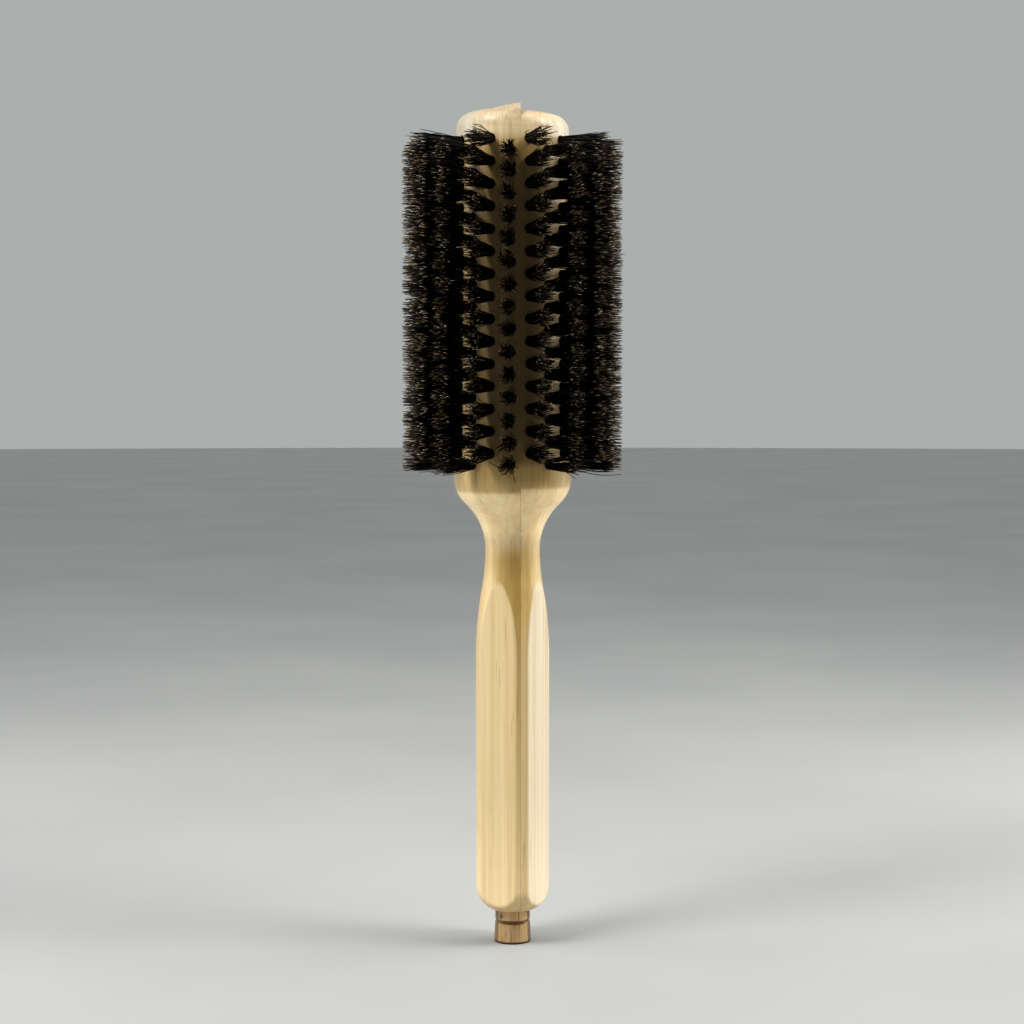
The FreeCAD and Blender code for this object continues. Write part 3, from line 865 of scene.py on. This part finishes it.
# Steps in metres, as for the wood.
KNOB_TOP, KNOB_FOOT_SHADE = (0.0062, 0.0068), (0.0003, 0.0008)
KNOB_SHADED_SIDE = (-0.0045, -0.0037)
KNOB_GROOVE = (0.0003, 0.0008)
KNOB_MARK_PLACE = (-0.0033, -0.0038, 0.0064)
KNOB_MARK = (0.0003, 0.0011)


def knob_material():
    """Brown-stained wood under gloss varnish, darker in the groove, with a painted dark reflection
    towards its outline, painted shade on its left side and at its foot.
    """
    n = Surface("varnished_wood")
    grain = n.noise((420, 420, 16.0), 4.0, 0.6, 0.4)
    lines = n.noise((1100, 1100, 30.0), 2.0)
    pores = n.noise((1500, 1500, 90.0), 2.0)
    x, _, z = n.axes()
    # Painted dark reflection: Layer Weight's Facing darkens the colour towards the outline and fades
    # the groove there.
    away = n.add("ShaderNodeLayerWeight").outputs["Facing"]
    colour = n.mix(n.span(grain, 0.3, 0.7), KNOB_TONES["pale"], KNOB_TONES["deep"])
    colour = n.mix(n.span(lines, 0.55, 0.70, 0.0, 0.6), colour, KNOB_TONES["line"])
    colour = n.mix(n.span(pores, 0.6, 0.7, 0.0, 0.55), colour, KNOB_TONES["pore"])
    colour = n.mix(n.span(z, *KNOB_TOP), colour, KNOB_TOP_TINT, "MULTIPLY")
    colour = n.mix(n.span(away, 0.40, 0.52, 0.0, 0.85), colour, KNOB_TONES["edge"])
    # Painted shade: the knob's left side is darker.
    colour = n.mix(n.span(x, *KNOB_SHADED_SIDE, 0.9, 0.0), colour, KNOB_TONES["left_side"])
    off = n.math("ABSOLUTE", n.math("SUBTRACT", z, GROOVE["stain"] * MM))
    groove = n.span(off, *KNOB_GROOVE, 1.0, 0.0)
    groove = n.math("MULTIPLY", groove, n.span(away, 0.2, 0.6, 1.0, 0.4))
    colour = n.mix(groove, colour, KNOB_TONES["groove"])
    mark = n.add("ShaderNodeVectorMath", operation="DISTANCE")
    n.link(n.stretched((1, 1, 0.8)), mark.inputs[0])
    mark.inputs[1].default_value = KNOB_MARK_PLACE
    marked = n.span(mark.outputs["Value"], *KNOB_MARK, 0.8, 0.0)
    colour = n.mix(marked, colour, KNOB_TONES["mark"])
    # Painted shade: the bottom of the knob is nearly black where it meets the floor.
    colour = n.mix(n.span(z, *KNOB_FOOT_SHADE, 1.0, 0.0), colour, KNOB_TONES["foot"])
    n.set(Base_Color=colour, Roughness=0.38, Coat_Weight=0.6, Coat_Roughness=0.08)
    n.bump(grain, 0.12, 0.00005)
    return n.material


def bristle_material():
    """Boar bristle: near black, with brown and straw-coloured tips on some of the hairs."""
    n = Surface("boar_bristle")
    hair = n.add("ShaderNodeAttribute", attribute_name="bristle")
    parts = n.add("ShaderNodeSeparateColor")
    n.link(hair.outputs["Color"], parts.inputs[0])
    tone, along, other = parts.outputs[0], parts.outputs[1], parts.outputs[2]
    black = n.ramp(tone, [(0.0, (0.0045, 0.004, 0.0045)), (1.0, (0.011, 0.008, 0.006))])
    tips = n.ramp(
        other,
        [
            (0.0, (0.009, 0.007, 0.005)),
            (0.42, (0.022, 0.014, 0.010)),
            (0.60, (0.140, 0.080, 0.036)),
            (0.78, (0.330, 0.245, 0.115)),
            (0.92, (0.650, 0.560, 0.400)),
            (1.0, (0.920, 0.900, 0.840)),
        ],
    )
    colour = n.mix(n.span(along, 0.90, 0.98), black, tips)
    n.set(Base_Color=colour, Roughness=0.42, Specular_IOR_Level=0.35)
    return n.material


def steel_material(name, colour, roughness):
    """Drawn steel with fine lengthways scratches."""
    n = Surface(name)
    scratch = n.noise((2600, 2600, 60.0), 3.0, 0.6)
    shade = n.mix(n.span(scratch, 0.3, 0.7), (*colour, 1), (*(0.8 * c for c in colour), 1))
    n.set(Base_Color=shade, Metallic=1.0)
    n.set(Roughness=n.span(scratch, 0.3, 0.7, roughness, roughness + 0.12))
    n.bump(scratch, 0.1, 0.00002)
    return n.material


def plastic_material():
    """Natural nylon, slightly mottled."""
    n = Surface("socket_nylon")
    mottle = n.noise((900, 900, 900), 3.0)
    colour = n.mix(n.span(mottle, 0.3, 0.7), (0.70, 0.66, 0.55, 1), (0.62, 0.57, 0.46, 1))
    n.set(Base_Color=colour)
    n.set(Roughness=n.span(mottle, 0.3, 0.7, 0.42, 0.55))
    n.bump(mottle, 0.1, 0.00003)
    return n.material


def floor_material():
    """A pale matt floor, faintly uneven in tone."""
    n = Surface("pale_floor")
    drift = n.noise((5, 5, 5), 4.0)
    colour = n.mix(n.span(drift, 0.3, 0.7), (0.395, 0.399, 0.399, 1), (0.365, 0.369, 0.371, 1))
    n.set(Base_Color=colour, Roughness=0.5, Specular_IOR_Level=0.12)
    return n.material


# ---- assembly --------------------------------------------------------------------------------------

add_camera()
add_studio()
rows_of_tufts = tuft_rows()
drill_tool = drills(rows_of_tufts)
lamination("left_lamination_wood", "body_left_lamination", True, drill_tool)
lamination("right_lamination_wood", "body_right_lamination", False, drill_tool)
bpy.data.objects.remove(drill_tool)
add_tufts(rows_of_tufts)
add_knob()
finish_cad_nodes()
